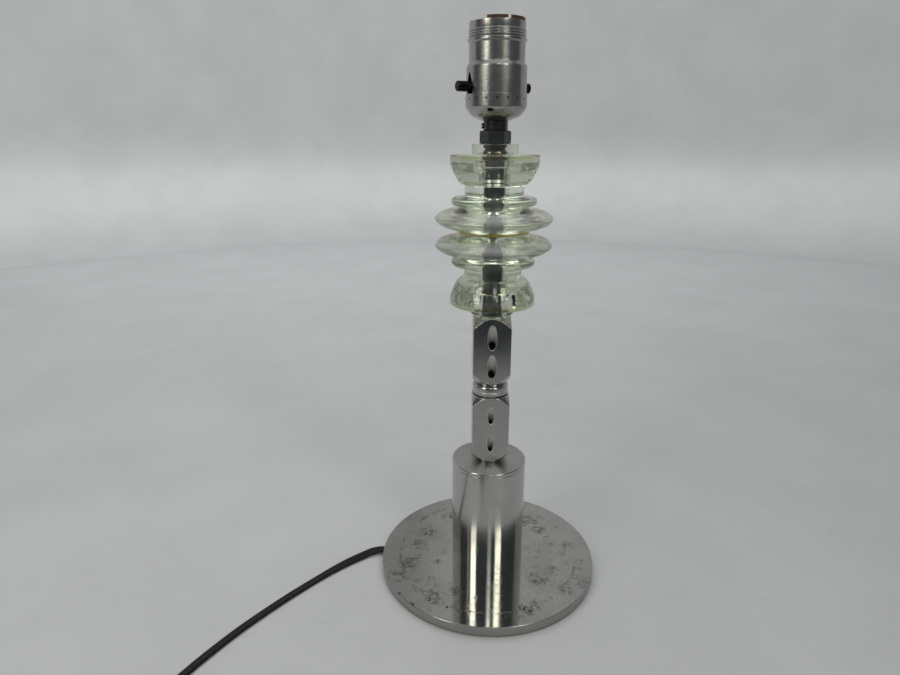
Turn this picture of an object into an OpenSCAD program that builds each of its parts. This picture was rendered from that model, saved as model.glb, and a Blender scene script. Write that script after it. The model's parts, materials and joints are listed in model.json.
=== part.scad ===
// Table lamp: two clear glass insulators threaded on a lamp pipe, over turned aluminium
// posts, a round column and a disc base, with a push-through bulb socket on top.
// Millimetres, +Z up, origin on the table under the centre of the base.

/* [Base] */
// Diameter of the base disc
disc_d = 152.4; // [110:0.1:220]
// Thickness of the base disc
disc_t = 6.35; // [6:0.05:12]
// Thickness of the felt pad under the disc
pad_t = 1.2; // [0.8:0.1:3]
// How far the felt stays inside the disc's edge
pad_inset = 3.2; // [1:0.1:8]
// Depth of the channel for the cord in the underside
channel_depth = 4.2; // [3.8:0.1:4.6]
// Width of that channel
channel_w = 6.2; // [5.8:0.1:9]
// Compass angle of the cord's exit
exit_angle = 174; // [160:1:190]

/* [Column] */
// Diameter of the column
column_d = 50.8; // [42:0.1:70]
// Height of the column with its cap
column_h = 77.7; // [60:0.1:140]
// Wall of the column tube
column_wall = 3; // [2:0.1:5]
// Thickness of the cap's visible plate
cap_t = 2.8; // [2:0.1:6]
// Depth of the cap's spigot inside the tube
spigot_h = 3; // [2:0.1:8]
// Height of the plug in the column's foot
plug_h = 12; // [8:0.1:20]
// Circle of the three base screws
screw_circle_d = 32; // [30:0.1:34]
// Shank diameter of a base screw
screw_d = 4.1; // [3:0.1:5]

/* [Posts] */
// Side of the square bar
post_w = 24.5; // [20:0.1:32]
// Length of the lower post
lower_post_h = 49; // [45:0.1:90]
// Length of the upper post
upper_post_h = 48.3; // [45:0.1:90]
// Rise of the turned cones for each millimetre of radius
cone_slope = 1.32; // [0.8:0.01:1.5]
// Diameter of the oblique holes in the upper post
upper_hole_d = 6; // [3:0.1:8]
// Diameter of the oblique holes in the lower post
lower_hole_d = 4.3; // [3:0.1:6]
// Angle between the oblique holes and the post
hole_angle = 21; // [17:1:30]
// Diameter of the spacer ring between the posts
ring_d = 23.8; // [18:0.1:28]
// Height of the spacer ring
ring_h = 7.6; // [5:0.1:12]

/* [Pipe and core] */
// Outer diameter of the threaded lamp pipe
pipe_d = 9.7; // [8:0.1:11.2]
// Bore of the lamp pipe
pipe_bore = 7; // [6.4:0.1:7.2]
// Outer diameter of the tube inside the glass
core_d = 12.7; // [12.2:0.1:15.3]
// Height of the bright sleeve inside the glass
sleeve_h = 6.9; // [4:0.1:10]
// Height of the threaded stretch above the sleeve
nipple_h = 7.9; // [5:0.1:9]
// Height of the dark bushing in the glass collar
bushing_h = 7; // [4:0.1:8]

/* [Glass] */
// Height of one insulator
glass_h = 52; // [50:0.1:70]
// Diameter of the wide skirt
skirt_d = 74.8; // [66:0.1:100]
// Diameter of the narrow skirt
fin_d = 51.8; // [46:0.1:62]
// Diameter of the neck
neck_d = 36.4; // [30:0.1:40]
// Diameter of the end flange
flange_d = 54.2; // [50:0.1:66]
// Diameter of the collar beyond the flange
collar_d = 28; // [22:0.1:36]
// Diameter of the counterbore in the collar
counterbore_d = 15.6; // [15.4:0.1:18]
// Depth of that counterbore
counterbore_h = 11; // [10:0.1:16]
// Thickness of the glue between the two insulators
bond_t = 0.3; // [0.2:0.05:1]

/* [Socket] */
// Turn of the socket about the lamp's axis
socket_turn = 25; // [0:1:60]
// Size of the blackened nut across its flats
nut_af = 16.3; // [14:0.1:22]
// Height of that nut
nut_h = 7.5; // [5:0.1:12]
// Diameter of the dark bushing under the socket
stem_d = 14.8; // [13.4:0.1:18]
// Visible height of that bushing
stem_h = 5.65; // [5:0.05:10]
// Outer diameter of the socket cap
cap_d = 36.2; // [34:0.1:42]
// Thickness of the spun sheet metal
sheet_t = 0.4; // [0.3:0.05:0.6]
// Inner diameter of the screw shell for the bulb
bulb_bore_d = 26.6; // [26:0.1:27]
// Depth of the screw shell
bulb_bore_h = 25; // [20:0.1:26]
// Diameter of the switch bar
bar_d = 5.8; // [4.6:0.1:6.2]
// Length of the switch bar
bar_l = 48; // [46:0.1:60]
// How far the bar stands off centre, towards the front, at rest
bar_offset = 1.7; // [0:0.1:2]

/* [Cord] */
// Width of the flat twin cord
cord_w = 5.3; // [5:0.1:5.4]
// Thickness of the flat twin cord
cord_t = 2.7; // [2.4:0.1:2.8]

/* [Fits] */
// Radial slip of a piece on the pipe or in a bore
slip = 0.15; // [0.1:0.01:0.2]
// Radial running clearance of the switch bar
bar_run = 0.08; // [0.05:0.01:0.1]
// Radial room round the bar in the sheet metal
bar_room = 0.4; // [0.3:0.05:0.5]

/* [Hidden] */
$fn = 96;
// Heights of the faces of the stack
disc_z = pad_t;
column_z = disc_z + disc_t;
post_z = column_z + column_h;
ring_z = post_z + lower_post_h;
upper_z = ring_z + ring_h;
glass_z = upper_z + upper_post_h;
bond_z = glass_z + glass_h;
upper_glass_z = bond_z + bond_t;
nut_z = upper_glass_z + glass_h;
stem_z = nut_z + nut_h;
socket_z = stem_z + stem_h;

// Fits along the pipe
pipe_r = pipe_d / 2;
pipe_hole_r = pipe_r + slip;
core_r = core_d / 2;
glass_bore_r = core_r + slip;
column_bore_r = column_d / 2 - column_wall;
spigot_bottom = post_z - cap_t - spigot_h;
pipe_nut_h = 4;
pipe_nut_af = pipe_d + 4.6;
washer_t = 1;
pipe_bottom = spigot_bottom - washer_t - pipe_nut_h - 2.5;
pipe_top = socket_z + 2.6;
cord_hole_r = 5.5;

// Core pieces inside the upper insulator, measured down from the nut
gasket_h = 2.3;
bushing_z = nut_z - gasket_h - bushing_h;
nipple_z = bushing_z - nipple_h;
sleeve_z = nipple_z - sleeve_h;

// Socket, measured up from the bottom of its cap
cap_bowl_h = 7.3;
cap_h = 14.4;
cap_r = cap_d / 2;
shell_r = cap_r - sheet_t - 0.05;
shell_top_r = shell_r - 1.4;
shell_bottom = 11;
shell_top = 52.6;
liner_t = 0.5;
liner_r = shell_top_r - sheet_t - 0.1;
liner_rise = 1.8;
bar_h = cap_h + bar_d / 2 + 1.05;
body_bottom = 8.5;
body_top = bar_h + bar_d / 2 + 4;
body_r = liner_r - liner_t - 0.4;
pocket_h = 3;
groove_w = 6;
groove_depth = 3.4;
stem_thread_r = pipe_r + 1.15;
terminal_h = bar_h + 0.5;

// Points on an arc about c, from angle a0 to a1
function arc(c, r, a0, a1, steps = 6) =
    [for (i = [0 : steps]) let (a = a0 + (a1 - a0) * i / steps) c + r * [cos(a), sin(a)]];

// Outline of a flat twin cord, ten points round two half circles
function flat_section(w, t) =
    [for (side = [0, 180], a = [-72 : 36 : 72])
        let (b = side + a) [(side == 0 ? 1 : -1) * (w - t) / 2, 0] + t / 2 * [cos(b), sin(b)]];

function round_section(d) = [for (a = [0 : 45 : 315]) d / 2 * [cos(a), sin(a)]];

function unit(v) = v / norm(v);

// Direction of a route at point i
function heading(p, i) = unit(p[min(i + 1, len(p) - 1)] - p[max(i - 1, 0)]);

// Sweep of a section along a route; wide gives the section's first axis at each point
module sweep(p, section, wide) {
    n = len(section);
    rings = [for (i = [0 : len(p) - 1])
        let (t = heading(p, i), w = unit(wide[i] - (wide[i] * t) * t), h = cross(t, w))
        for (s = section) p[i] + s[0] * w + s[1] * h];
    sides = [for (i = [0 : len(p) - 2], k = [0 : n - 1])
        let (a = i * n + k, b = i * n + (k + 1) % n)
        each [[a, b, a + n], [b, b + n, a + n]]];
    start = [[for (k = [0 : n - 1]) n - 1 - k]];
    end = [[for (k = [0 : n - 1]) (len(p) - 1) * n + k]];
    polyhedron(rings, [for (f = concat(sides, start, end)) [for (k = f) k]], convexity = 6);
}

// Sweep of the flat cord along [x, y, z, tilt] points; at tilt 0 its wide side lies level
module flat_cord(route) {
    p = [for (q = route) [q[0], q[1], q[2]]];
    wide = [for (i = [0 : len(p) - 1])
        let (t = heading(p, i), level = unit(cross(t, [0, 0, 1])))
        level * cos(route[i][3]) - cross(t, level) * sin(route[i][3])];
    sweep(p, flat_section(cord_w, cord_t), wide);
}

module ring(r, bore_r, h) {
    difference() {
        cylinder(r = r, h = h);
        translate([0, 0, -1]) cylinder(r = bore_r, h = h + 2);
    }
}

module hex_prism(af, bore_r, h) {
    difference() {
        cylinder(r = af / 2 / cos(30), h = h, $fn = 6);
        translate([0, 0, -1]) cylinder(r = bore_r, h = h + 2);
    }
}

module at_screws() {
    for (a = [60, 180, 300]) rotate(a + exit_angle) translate([screw_circle_d / 2, 0, 0]) children();
}

// ---- Base ----

module cord_channel() {
    rotate(exit_angle) translate([0, -channel_w / 2, -1])
        cube([disc_d, channel_w, channel_depth + 1]);
}

module base_disc() {
    edge = 0.4;
    color("#b9b9b4") translate([0, 0, disc_z]) difference() {
        rotate_extrude() polygon([
            [0, 0], [disc_d / 2 - edge, 0], [disc_d / 2, edge],
            [disc_d / 2, disc_t - edge], [disc_d / 2 - edge, disc_t], [0, disc_t]]);
        translate([0, 0, -1]) cylinder(r = cord_hole_r, h = disc_t + 2);
        cord_channel();
        at_screws() {
            translate([0, 0, -1]) cylinder(r = screw_d / 2 + slip, h = disc_t + 2);
            translate([0, 0, -0.01]) cylinder(r1 = screw_d + slip, r2 = screw_d / 2 + slip,
                h = screw_d / 2 + 0.3);
        }
    }
}

module felt_pad() {
    color("#2c2c2a") cylinder(r = disc_d / 2 - pad_inset, h = pad_t);
}

module base_screws() {
    head_h = screw_d / 2;
    color("#8d8d88") at_screws() translate([0, 0, disc_z + 0.3]) difference() {
        union() {
            cylinder(r1 = screw_d - 0.3, r2 = screw_d / 2, h = head_h);
            translate([0, 0, head_h]) cylinder(r = screw_d / 2, h = disc_t + plug_h * 0.6 - head_h);
        }
        translate([-screw_d, -0.5, -1]) cube([2 * screw_d, 1, 1.9]);
    }
}

// ---- Column ----

module column_plug() {
    color("#a9a9a5") translate([0, 0, column_z]) difference() {
        cylinder(r = column_bore_r - 0.02, h = plug_h);
        translate([0, 0, -1]) cylinder(r = cord_hole_r, h = plug_h + 2);
        at_screws() translate([0, 0, -1]) cylinder(r = screw_d / 2 + 0.05, h = plug_h + 2);
    }
}

module column_tube() {
    color("#c4c4c0") translate([0, 0, column_z])
        ring(column_d / 2, column_bore_r, column_h - cap_t);
}

module column_cap() {
    rim = 0.8;
    seam = 0.25;
    color("#bcbcb8") translate([0, 0, post_z - cap_t]) difference() {
        rotate_extrude() polygon(concat(
            [[0, -spigot_h], [column_bore_r - 0.05, -spigot_h], [column_bore_r - 0.05, 0],
            [column_d / 2 - seam, 0], [column_d / 2, seam]],
            arc([column_d / 2 - rim, cap_t - rim], rim, 0, 90),
            [[0, cap_t]]));
        translate([0, 0, -spigot_h - 1]) cylinder(r = pipe_hole_r, h = spigot_h + cap_t + 2);
    }
}

module pipe_washer() {
    color("#9a9a96") translate([0, 0, spigot_bottom - washer_t])
        ring(pipe_nut_af / 2 + 3, pipe_hole_r, washer_t);
}

module pipe_nut() {
    color("#9c8b55") translate([0, 0, spigot_bottom - washer_t - pipe_nut_h])
        hex_prism(pipe_nut_af, pipe_r + 0.05, pipe_nut_h);
}

module lamp_pipe() {
    color("#85817a") translate([0, 0, pipe_bottom])
        ring(pipe_r, pipe_bore / 2, pipe_top - pipe_bottom);
}

// ---- Posts ----

// Square bar with turned ends; low and top are the heights of the two turned cones
module post(h, low, top, hole_d, hole_heights) {
    corner_r = post_w / sqrt(2);
    low_r = corner_r - low / cone_slope;
    top_r = corner_r - top / cone_slope;
    reach = (post_w / 2 - pipe_hole_r) / sin(hole_angle);
    difference() {
        intersection() {
            translate([-post_w / 2, -post_w / 2, 0]) cube([post_w, post_w, h]);
            rotate_extrude() polygon([
                [0, 0], [low_r, 0], [corner_r + 0.01, low], [corner_r + 0.01, h - top],
                [top_r, h], [0, h]]);
        }
        translate([0, 0, -1]) cylinder(r = pipe_hole_r, h = h + 2);
        for (z = hole_heights) translate([0, -post_w / 2, z]) rotate([180 + hole_angle, 0, 0])
            translate([0, 0, -3 * hole_d]) cylinder(d = hole_d, h = 3 * hole_d + reach - hole_d / 2 - 1.5);
    }
}

module lower_post() {
    color("#a9aba8") translate([0, 0, post_z])
        post(lower_post_h, 9.9, 6, lower_hole_d, [16.5, 36.8]);
}

module upper_post() {
    color("#a9aba8") translate([0, 0, upper_z])
        post(upper_post_h, 9.4, 8.3, upper_hole_d, [14.4, 34.3]);
}

module spacer_ring() {
    edge = 1.6;
    groove = 0.35;
    r = ring_d / 2;
    color("#b4b5b1") translate([0, 0, ring_z]) difference() {
        rotate_extrude() polygon(concat(
            [[0, 0]],
            arc([r - edge, edge], edge, -90, 0),
            [[r, ring_h * 0.44 - groove], [r - groove, ring_h * 0.44],
            [r, ring_h * 0.44 + groove]],
            arc([r - edge, ring_h - edge], edge, 0, 90),
            [[0, ring_h]]));
        translate([0, 0, -1]) cylinder(r = pipe_hole_r, h = ring_h + 2);
    }
}

// ---- Glass and core ----

// Half outline of one insulator: joint face at height 0, collar at the top
function glass_outline() =
    let (s = skirt_d / 2, f = fin_d / 2, n = neck_d / 2, g = flange_d / 2, c = collar_d / 2)
    concat(
        [[glass_bore_r, 0], [n + 2.9, 0], [n + 3.6, 0.5], [s - 11.7, 1.7], [s - 7.7, 2.7],
        [s - 4.3, 4]],
        arc([s - 2.6, 8.2], 2.6, -66, 72, 8),
        [[s - 4.6, 11.9], [s - 9, 13.4], [n + 3.4, 14.4]],
        arc([n + 2.4, 15.2], 0.9, 110, 200, 3),
        [[n + 2.4, 15.6]],
        arc([f - 2.5, 18], 2.5, -80, 75, 8),
        [[n + 2.6, 21.2]],
        arc([n + 1.8, 23], 1.8, 250, 180, 4),
        arc([n + 0.8, glass_h - 24.4], 0.8, 180, 90, 3),
        [[g - 6.4, glass_h - 23.2], [g - 5.2, glass_h - 22.1], [g - 4.2, glass_h - 20.8],
        [g - 2.7, glass_h - 17.8], [g - 1.1, glass_h - 14.6], [g - 0.2, glass_h - 11.5]],
        [[g, glass_h - 10]],
        arc([g - 1, glass_h - 7.1], 1, 0, 90, 5),
        arc([c + 0.9, glass_h - 5.2], 0.9, 270, 180, 3),
        arc([c - 0.7, glass_h - 0.7], 0.7, 0, 90, 4),
        [[counterbore_d / 2, glass_h], [counterbore_d / 2, glass_h - counterbore_h],
        [glass_bore_r, glass_h - counterbore_h - 0.8]]);

module insulator() {
    rotate_extrude() polygon(glass_outline());
}

module lower_insulator() {
    color("#cfdccb", 0.5) translate([0, 0, bond_z]) mirror([0, 0, 1]) insulator();
}

module upper_insulator() {
    color("#cfdccb", 0.5) translate([0, 0, upper_glass_z]) insulator();
}

module bond_line() {
    color("#b7a73a") translate([0, 0, bond_z]) ring(neck_d / 2 + 2.85, neck_d / 2 - 3, bond_t);
}

module core_tube() {
    color("#4d4e4d") translate([0, 0, glass_z]) ring(core_r, pipe_hole_r, sleeve_z - glass_z);
}

module bright_sleeve() {
    edge = 0.7;
    color("#d8d8d8") translate([0, 0, sleeve_z]) difference() {
        rotate_extrude() polygon(concat(
            [[0, 0]], arc([core_r - edge, edge], edge, -90, 0),
            arc([core_r - edge, sleeve_h - edge], edge, 0, 90), [[0, sleeve_h]]));
        translate([0, 0, -1]) cylinder(r = pipe_hole_r, h = sleeve_h + 2);
    }
}

module threaded_nipple() {
    pitch = 1.3;
    depth = 0.35;
    r = core_r - 0.3;
    teeth = floor(nipple_h / pitch);
    color("#3a3835") translate([0, 0, nipple_z]) difference() {
        rotate_extrude() polygon(concat(
            [[0, 0], [r - depth, 0]],
            [for (i = [0 : teeth - 1]) each [[r, (i + 0.5) * pitch], [r - depth, (i + 1) * pitch]]],
            [[r - depth, nipple_h], [0, nipple_h]]));
        translate([0, 0, -1]) cylinder(r = pipe_hole_r, h = nipple_h + 2);
    }
}

module collar_bushing() {
    r = counterbore_d / 2 - 0.3;
    color("#4b4038") translate([0, 0, bushing_z]) difference() {
        rotate_extrude() polygon(concat(
            [[0, 0], [r - 0.8, 0], [r, 0.8]],
            arc([r - 3, bushing_h - 3], 3, 0, 70, 6),
            [[r - 2.2, bushing_h], [0, bushing_h]]));
        translate([0, 0, -1]) cylinder(r = pipe_hole_r, h = bushing_h + 2);
    }
}

module collar_gasket() {
    color("#161616") translate([0, 0, nut_z - gasket_h])
        ring(counterbore_d / 2 - 0.9, pipe_hole_r, gasket_h);
}

// ---- Socket ----

module lock_nut() {
    color("#2b2d2c") translate([0, 0, nut_z]) intersection() {
        hex_prism(nut_af, pipe_r + 0.05, nut_h);
        rotate_extrude() polygon([
            [0, 0], [nut_af / 2 + 0.4, 0], [nut_af, (nut_af / 2 - 0.4) * 0.6],
            [nut_af, nut_h - (nut_af / 2 - 0.4) * 0.6], [nut_af / 2 + 0.4, nut_h], [0, nut_h]]);
    }
}

module socket_stem() {
    edge = 0.6;
    screw_z = stem_h * 0.48;
    color("#1d1d1d") translate([0, 0, stem_z]) difference() {
        union() {
            rotate_extrude() polygon(concat(
                [[0, 0]], arc([stem_d / 2 - edge, edge], edge, -90, 0),
                arc([stem_d / 2 - edge, stem_h - edge], edge, 0, 90), [[0, stem_h]]));
            cylinder(r = stem_thread_r, h = stem_h + 2.2);
        }
        translate([0, 0, -1]) cylinder(r = pipe_hole_r, h = stem_h + 5);
        translate([0, 0, screw_z]) rotate([0, -90, 8]) cylinder(r = 1.55, h = stem_d);
    }
}

module stem_screw() {
    screw_z = stem_h * 0.48;
    color("#2a2a2a") translate([0, 0, stem_z + screw_z]) rotate([0, -90, 8]) difference() {
        translate([0, 0, pipe_r + 0.1]) cylinder(r = 1.5, h = stem_d / 2 + 0.9 - pipe_r);
        translate([-0.3, -2, stem_d / 2 + 0.4]) cube([0.6, 4, 2]);
    }
}

// Children in the socket's own frame: the bar lies along X and points to the front on -X
module in_socket() {
    translate([0, 0, socket_z]) rotate(socket_turn) children();
}

module along_bar() {
    translate([0, 0, bar_h]) rotate([0, 90, 0]) children();
}

function cap_outline(inset) = concat(
    [[7.2, inset], [cap_r - 9.2, inset], [cap_r - 6.4 - inset * 0.3, 1.1 + inset],
    [cap_r - 3.5 - inset * 0.7, 2.9 + inset * 0.7], [cap_r - 1.5 - inset, 4.9 + inset * 0.2],
    [cap_r - 0.4 - inset, cap_bowl_h - 1], [cap_r - inset, cap_bowl_h]]);

module socket_cap() {
    color("#b3b3ad") in_socket() difference() {
        rotate_extrude() polygon(concat(
            [[stem_thread_r + 0.15, 0]], cap_outline(0), [[cap_r, cap_h], [cap_r - sheet_t, cap_h]],
            [for (i = [6 : -1 : 0]) cap_outline(sheet_t)[i]], [[stem_thread_r + 0.15, sheet_t]]));
        rotate(-15 - socket_turn) translate([-1.6, -cap_r - 1, cap_bowl_h - 2.5]) cube([3.2, 3.4, 1.5]);
    }
}

// Fibre cup that follows the cap's inside and ends under the bar
module cap_insulator() {
    r = cap_r - 2 * sheet_t - 0.8;
    hole_r = stem_thread_r + 1;
    color("#6b3a1c") in_socket() rotate_extrude() polygon([
        [hole_r, 2], [r - 4.6, 2], [r - 2.6, 3.8], [r - 1.5, 5.6], [r, 8], [r, 13],
        [r - 0.5, 13], [r - 0.5, 8.2], [r - 2, 5.9], [r - 3, 4.3], [r - 4.9, 2.5], [hole_r, 2.5]]);
}

// Height of each rolled ring's crest, in the socket's frame
function roll_z(i) = 45.3 + 1.43 * i;

function shell_outline() = concat(
    [[shell_r, shell_bottom], [shell_r, 28.4]],
    arc([shell_r - 1.3, 28.4], 1.3, 10, 60, 4),
    arc([shell_top_r + 0.9, 31.5], 0.9, 240, 180, 3),
    [[shell_top_r, 41.6], [shell_top_r + 0.45, 42], [shell_top_r + 0.72, 42.6],
    [shell_top_r + 0.72, 43.3], [shell_top_r + 0.45, 43.9], [shell_top_r + 0.05, 44.3]],
    [for (i = [0 : 2], k = [[-0.68, -0.05], [-0.36, 0.32], [-0.12, 0.5], [0.12, 0.5], [0.36, 0.32]])
        [shell_top_r + k[1], roll_z(i) + k[0]]],
    [[shell_top_r - 0.05, roll_z(2) + 0.68], [shell_top_r - 0.05, shell_top]]);

module bar_slots(point_h) {
    along_bar() translate([0, 0, -cap_r - 2])
        cylinder(r = bar_d / 2 + bar_room, h = 2 * cap_r + 4);
    rotate([90, 0, 90]) translate([0, bar_h, -cap_r - 2])
        linear_extrude(2 * cap_r + 4)
        polygon([[-bar_d / 2 - bar_room, -bar_h], [bar_d / 2 + bar_room, -bar_h],
            [bar_d / 2 + bar_room, 0], [0, point_h], [-bar_d / 2 - bar_room, 0]]);
}

module socket_shell() {
    inner_low = shell_r - sheet_t;
    inner_top = shell_top_r - sheet_t;
    color("#c0c0bc") in_socket() difference() {
        rotate_extrude() polygon(concat(
            shell_outline(), [[inner_top, shell_top], [inner_top, 31.4], [inner_low, 28.5],
            [inner_low, shell_bottom]]));
        bar_slots(bar_d / 2 + 4.6);
    }
}

// The liner's rim between its tabs is level with the shell's rim
module shell_liner() {
    tabs = [[-26, 17.5], [24.5, 77], [154, 197.5], [204.5, 257]];
    low = shell_bottom + 1;
    color("#7a4a22") in_socket() difference() {
        translate([0, 0, low]) ring(liner_r, liner_r - liner_t, shell_top + liner_rise - low);
        bar_slots(bar_d / 2 + 2);
        translate([0, 0, shell_top - 0.5]) difference() {
            cylinder(r = liner_r + 2, h = liner_rise + 2);
            for (t = tabs) rotate(t[0] - 90 - socket_turn) rotate_extrude(angle = t[1] - t[0])
                translate([liner_r - 3, -1]) square([6, liner_rise + 4]);
        }
    }
}

module bulb_screw_shell() {
    r = bulb_bore_d / 2;
    color("#cbbf8e") in_socket() translate([0, 0, body_top]) difference() {
        cylinder(r = r + sheet_t, h = bulb_bore_h + 0.5);
        translate([0, 0, 0.5]) cylinder(r = r, h = bulb_bore_h + 1);
        translate([0, 0, -1]) cylinder(r = 6, h = 3);
    }
}

// Domed spring tongue in the body's pocket; its top is level with the screw shell's floor
module centre_contact() {
    h = pocket_h + 0.5;
    color("#c9a23a") in_socket() translate([0, 0, body_top - pocket_h]) rotate_extrude()
        polygon(concat([[0, 0], [4.6, 0], [4.6, 0.8]], arc([2.2, h - 2.4], 2.4, 0, 85, 6), [[0, h]]));
}

module switch_body() {
    color("#26201b") in_socket() difference() {
        translate([0, 0, body_bottom]) cylinder(r = body_r, h = body_top - body_bottom);
        translate([0, 0, body_top - pocket_h]) cylinder(r = 5, h = pocket_h + 1);
        translate([0, 0, bar_h]) rotate([0, 90, 0]) translate([0, 0, -cap_r])
            cylinder(r = bar_d / 2 + bar_run, h = 2 * cap_r);
        for (side = [-1, 1])
            translate([-groove_w / 2, side < 0 ? -body_r - 1 : body_r - groove_depth, body_bottom - 1])
            cube([groove_w, groove_depth + 1, terminal_h + 4 - body_bottom]);
        for (side = [-90, 90]) rotate(side) translate([body_r - groove_depth - 5, 0, terminal_h])
            rotate([0, 90, 0]) cylinder(r = 1.6, h = 8);
    }
}

module switch_bar() {
    edge = 0.5;
    color("#0c0c0c") in_socket() translate([-bar_l / 2 - bar_offset, 0, bar_h]) rotate([0, 90, 0])
        rotate_extrude() polygon([
            [0, 0], [bar_d / 2 - edge, 0], [bar_d / 2, edge],
            [bar_d / 2, bar_l - edge], [bar_d / 2 - edge, bar_l], [0, bar_l]]);
}

module terminal_screws() {
    flat = body_r - groove_depth;
    color("#c2a04a") in_socket() for (side = [-90, 90]) rotate(side)
        translate([flat, 0, terminal_h]) rotate([0, 90, 0]) difference() {
            union() {
                translate([0, 0, -4]) cylinder(r = 1.55, h = 4.5);
                translate([0, 0, 0.2]) cylinder(r = 2.4, h = 1.6);
            }
            translate([-3, -0.35, 1]) cube([6, 0.7, 2]);
        }
}

// Two leads: up out of the pipe, apart over the cap's floor, then up the body's grooves
module lead_wires() {
    lead_d = 2.2;
    groove_y = body_r - 1.7;
    top = terminal_h - 2.6;
    p = [[0, 1.3, 1.6], [0, 1.5, 3.4], [0, 3, 5.2], [0, 6.2, 6], [0, 9.6, 6.1],
        [0, groove_y - 0.9, 6.7], [0, groove_y, 8.4], [0, groove_y, top]];
    color("#14120f") in_socket() for (side = [-1, 1])
        sweep([for (q = p) [q[0], side * q[1], q[2]]], round_section(lead_d), [for (q = p) [1, 0, 0]]);
}

// ---- Cord ----

// Held all the way: in the channel, up through the foot plug and the pipe
module inner_cord() {
    bend = 7;
    z0 = disc_z + channel_depth / 2 + 0.1;
    start = disc_d / 2 - 0.2;
    p = concat(
        [for (x = [start : -(start - bend) / 4 : bend + 0.1]) [x, 0, z0]],
        [for (a = [0 : 15 : 90]) [bend - bend * sin(a), 0, z0 + bend - bend * cos(a)]],
        [for (i = [1 : 6]) [0, 0, z0 + bend + (socket_z + 0.6 - z0 - bend) * i / 6]]);
    color("#0b0b0b") rotate(exit_angle)
        sweep(p, flat_section(cord_w, cord_t), [for (q = p) [0, 1, 0]]);
}

// Route of the loose cord on the table: x, y, z of its centre and its tilt
RUN = [
    [-76.2, 8, 3.4, 0], [-81, 7.4, 3.3, 20], [-86, 5.4, 3, 42], [-91, 2.2, 2.7, 46],
    [-101, -5, 2.2, 30], [-111, -13.5, 1.7, 12], [-120, -22.5, 1.45, 0], [-128.5, -31.8, 1.4, 0],
    [-137, -41.6, 1.4, 0], [-145.5, -52, 1.4, 0], [-153.5, -62.3, 1.4, 0], [-161, -72.5, 1.4, 0],
    [-167.8, -82.8, 1.4, 0], [-174, -92.8, 1.4, 0], [-179.8, -103, 1.45, 0],
    [-184.6, -113.5, 1.8, 18], [-188, -124.5, 2.4, 50], [-189.8, -135, 2.75, 80],
    [-190.3, -146, 2.8, 90]
];
TAIL = [
    [-131.8, -181.7, 7.6, 84], [-126, -178.9, 6.2, 70], [-120, -176.4, 4.6, 45],
    [-111, -173.2, 3.4, 15], [-103, -171, 4.6, 0], [-97, -169.8, 5.65, 0]
];
COIL_CENTRE = [-156, -156];
coil_turn_r = 30;
coil_bundle_w = 11.6;
coil_bundle_h = 10.8;
plug_z = 5.65;
plug_heading = 12;
relief_l = 20;
plug_l = 26;

// The loose cord keeps its shape and starts where the channel opens at the disc's edge
module loose() {
    rotate(exit_angle - 174) translate((disc_d / 2 - 76.2) * [cos(174), sin(174), 0]) children();
}

module cord_run() {
    color("#0b0b0b") loose() flat_cord(RUN);
}

module cord_coil() {
    edge = 1.2;
    inner = coil_turn_r - coil_bundle_w / 2;
    outer = coil_turn_r + coil_bundle_w / 2;
    color("#0b0b0b") loose() translate(COIL_CENTRE) rotate_extrude() polygon([
        [inner + edge, 0.1], [outer - edge, 0.1], [outer, 0.1 + edge],
        [outer, coil_bundle_h - edge], [outer - edge, coil_bundle_h],
        [inner + edge, coil_bundle_h], [inner, coil_bundle_h - edge], [inner, 0.1 + edge]]);
}

module cord_tail() {
    color("#0b0b0b") loose() flat_cord(TAIL);
}

// Children with +X along the plug, at the end of the tail
module at_plug() {
    last = TAIL[len(TAIL) - 1];
    loose() translate([last[0], last[1], plug_z]) rotate(plug_heading) children();
}

module plug_relief() {
    color("#0e0e0e") at_plug() rotate([0, 90, 0]) difference() {
        hull() {
            translate([0, -1.6, 0]) cylinder(r = 2.1, h = 0.1, $fn = 32);
            translate([0, 1.6, 0]) cylinder(r = 2.1, h = 0.1, $fn = 32);
            translate([0, -4, relief_l - 0.1]) cylinder(r = 3.6, h = 0.1, $fn = 32);
            translate([0, 4, relief_l - 0.1]) cylinder(r = 3.6, h = 0.1, $fn = 32);
        }
        for (i = [1 : 4], side = [-1, 1]) translate([-6, side * (3.6 + i) - 1.2, i * 3.6])
            cube([12, 2.4, 1.4]);
    }
}

module plug_body() {
    color("#0e0e0e") at_plug() translate([relief_l, 0, 0]) difference() {
        hull() for (side = [-1, 1]) {
            translate([0, side * 6.5, 0]) rotate([0, 90, 0]) cylinder(r = 4.6, h = 1, $fn = 32);
            translate([plug_l - 1.5, side * 6.9, 0]) rotate([0, 90, 0])
                cylinder(r = 5.5, h = 1.5, $fn = 32);
        }
        for (i = [0 : 3], side = [-1, 1]) translate([6 + 3.4 * i, side * 12.4 - 1.5, -6])
            cube([1.5, 3, 12]);
    }
}

module plug_blades() {
    blade_l = 17;
    color("#c9c3a6") at_plug() translate([relief_l + plug_l, 0, 0])
        for (b = [[-6.35, 6.3], [6.35, 7.9]]) translate([0, b[0] - 0.75, -b[1] / 2]) difference() {
            cube([blade_l, 1.5, b[1]]);
            translate([12, -1, b[1] / 2]) rotate([-90, 0, 0]) cylinder(r = 1.5, h = 4);
        }
}

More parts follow.
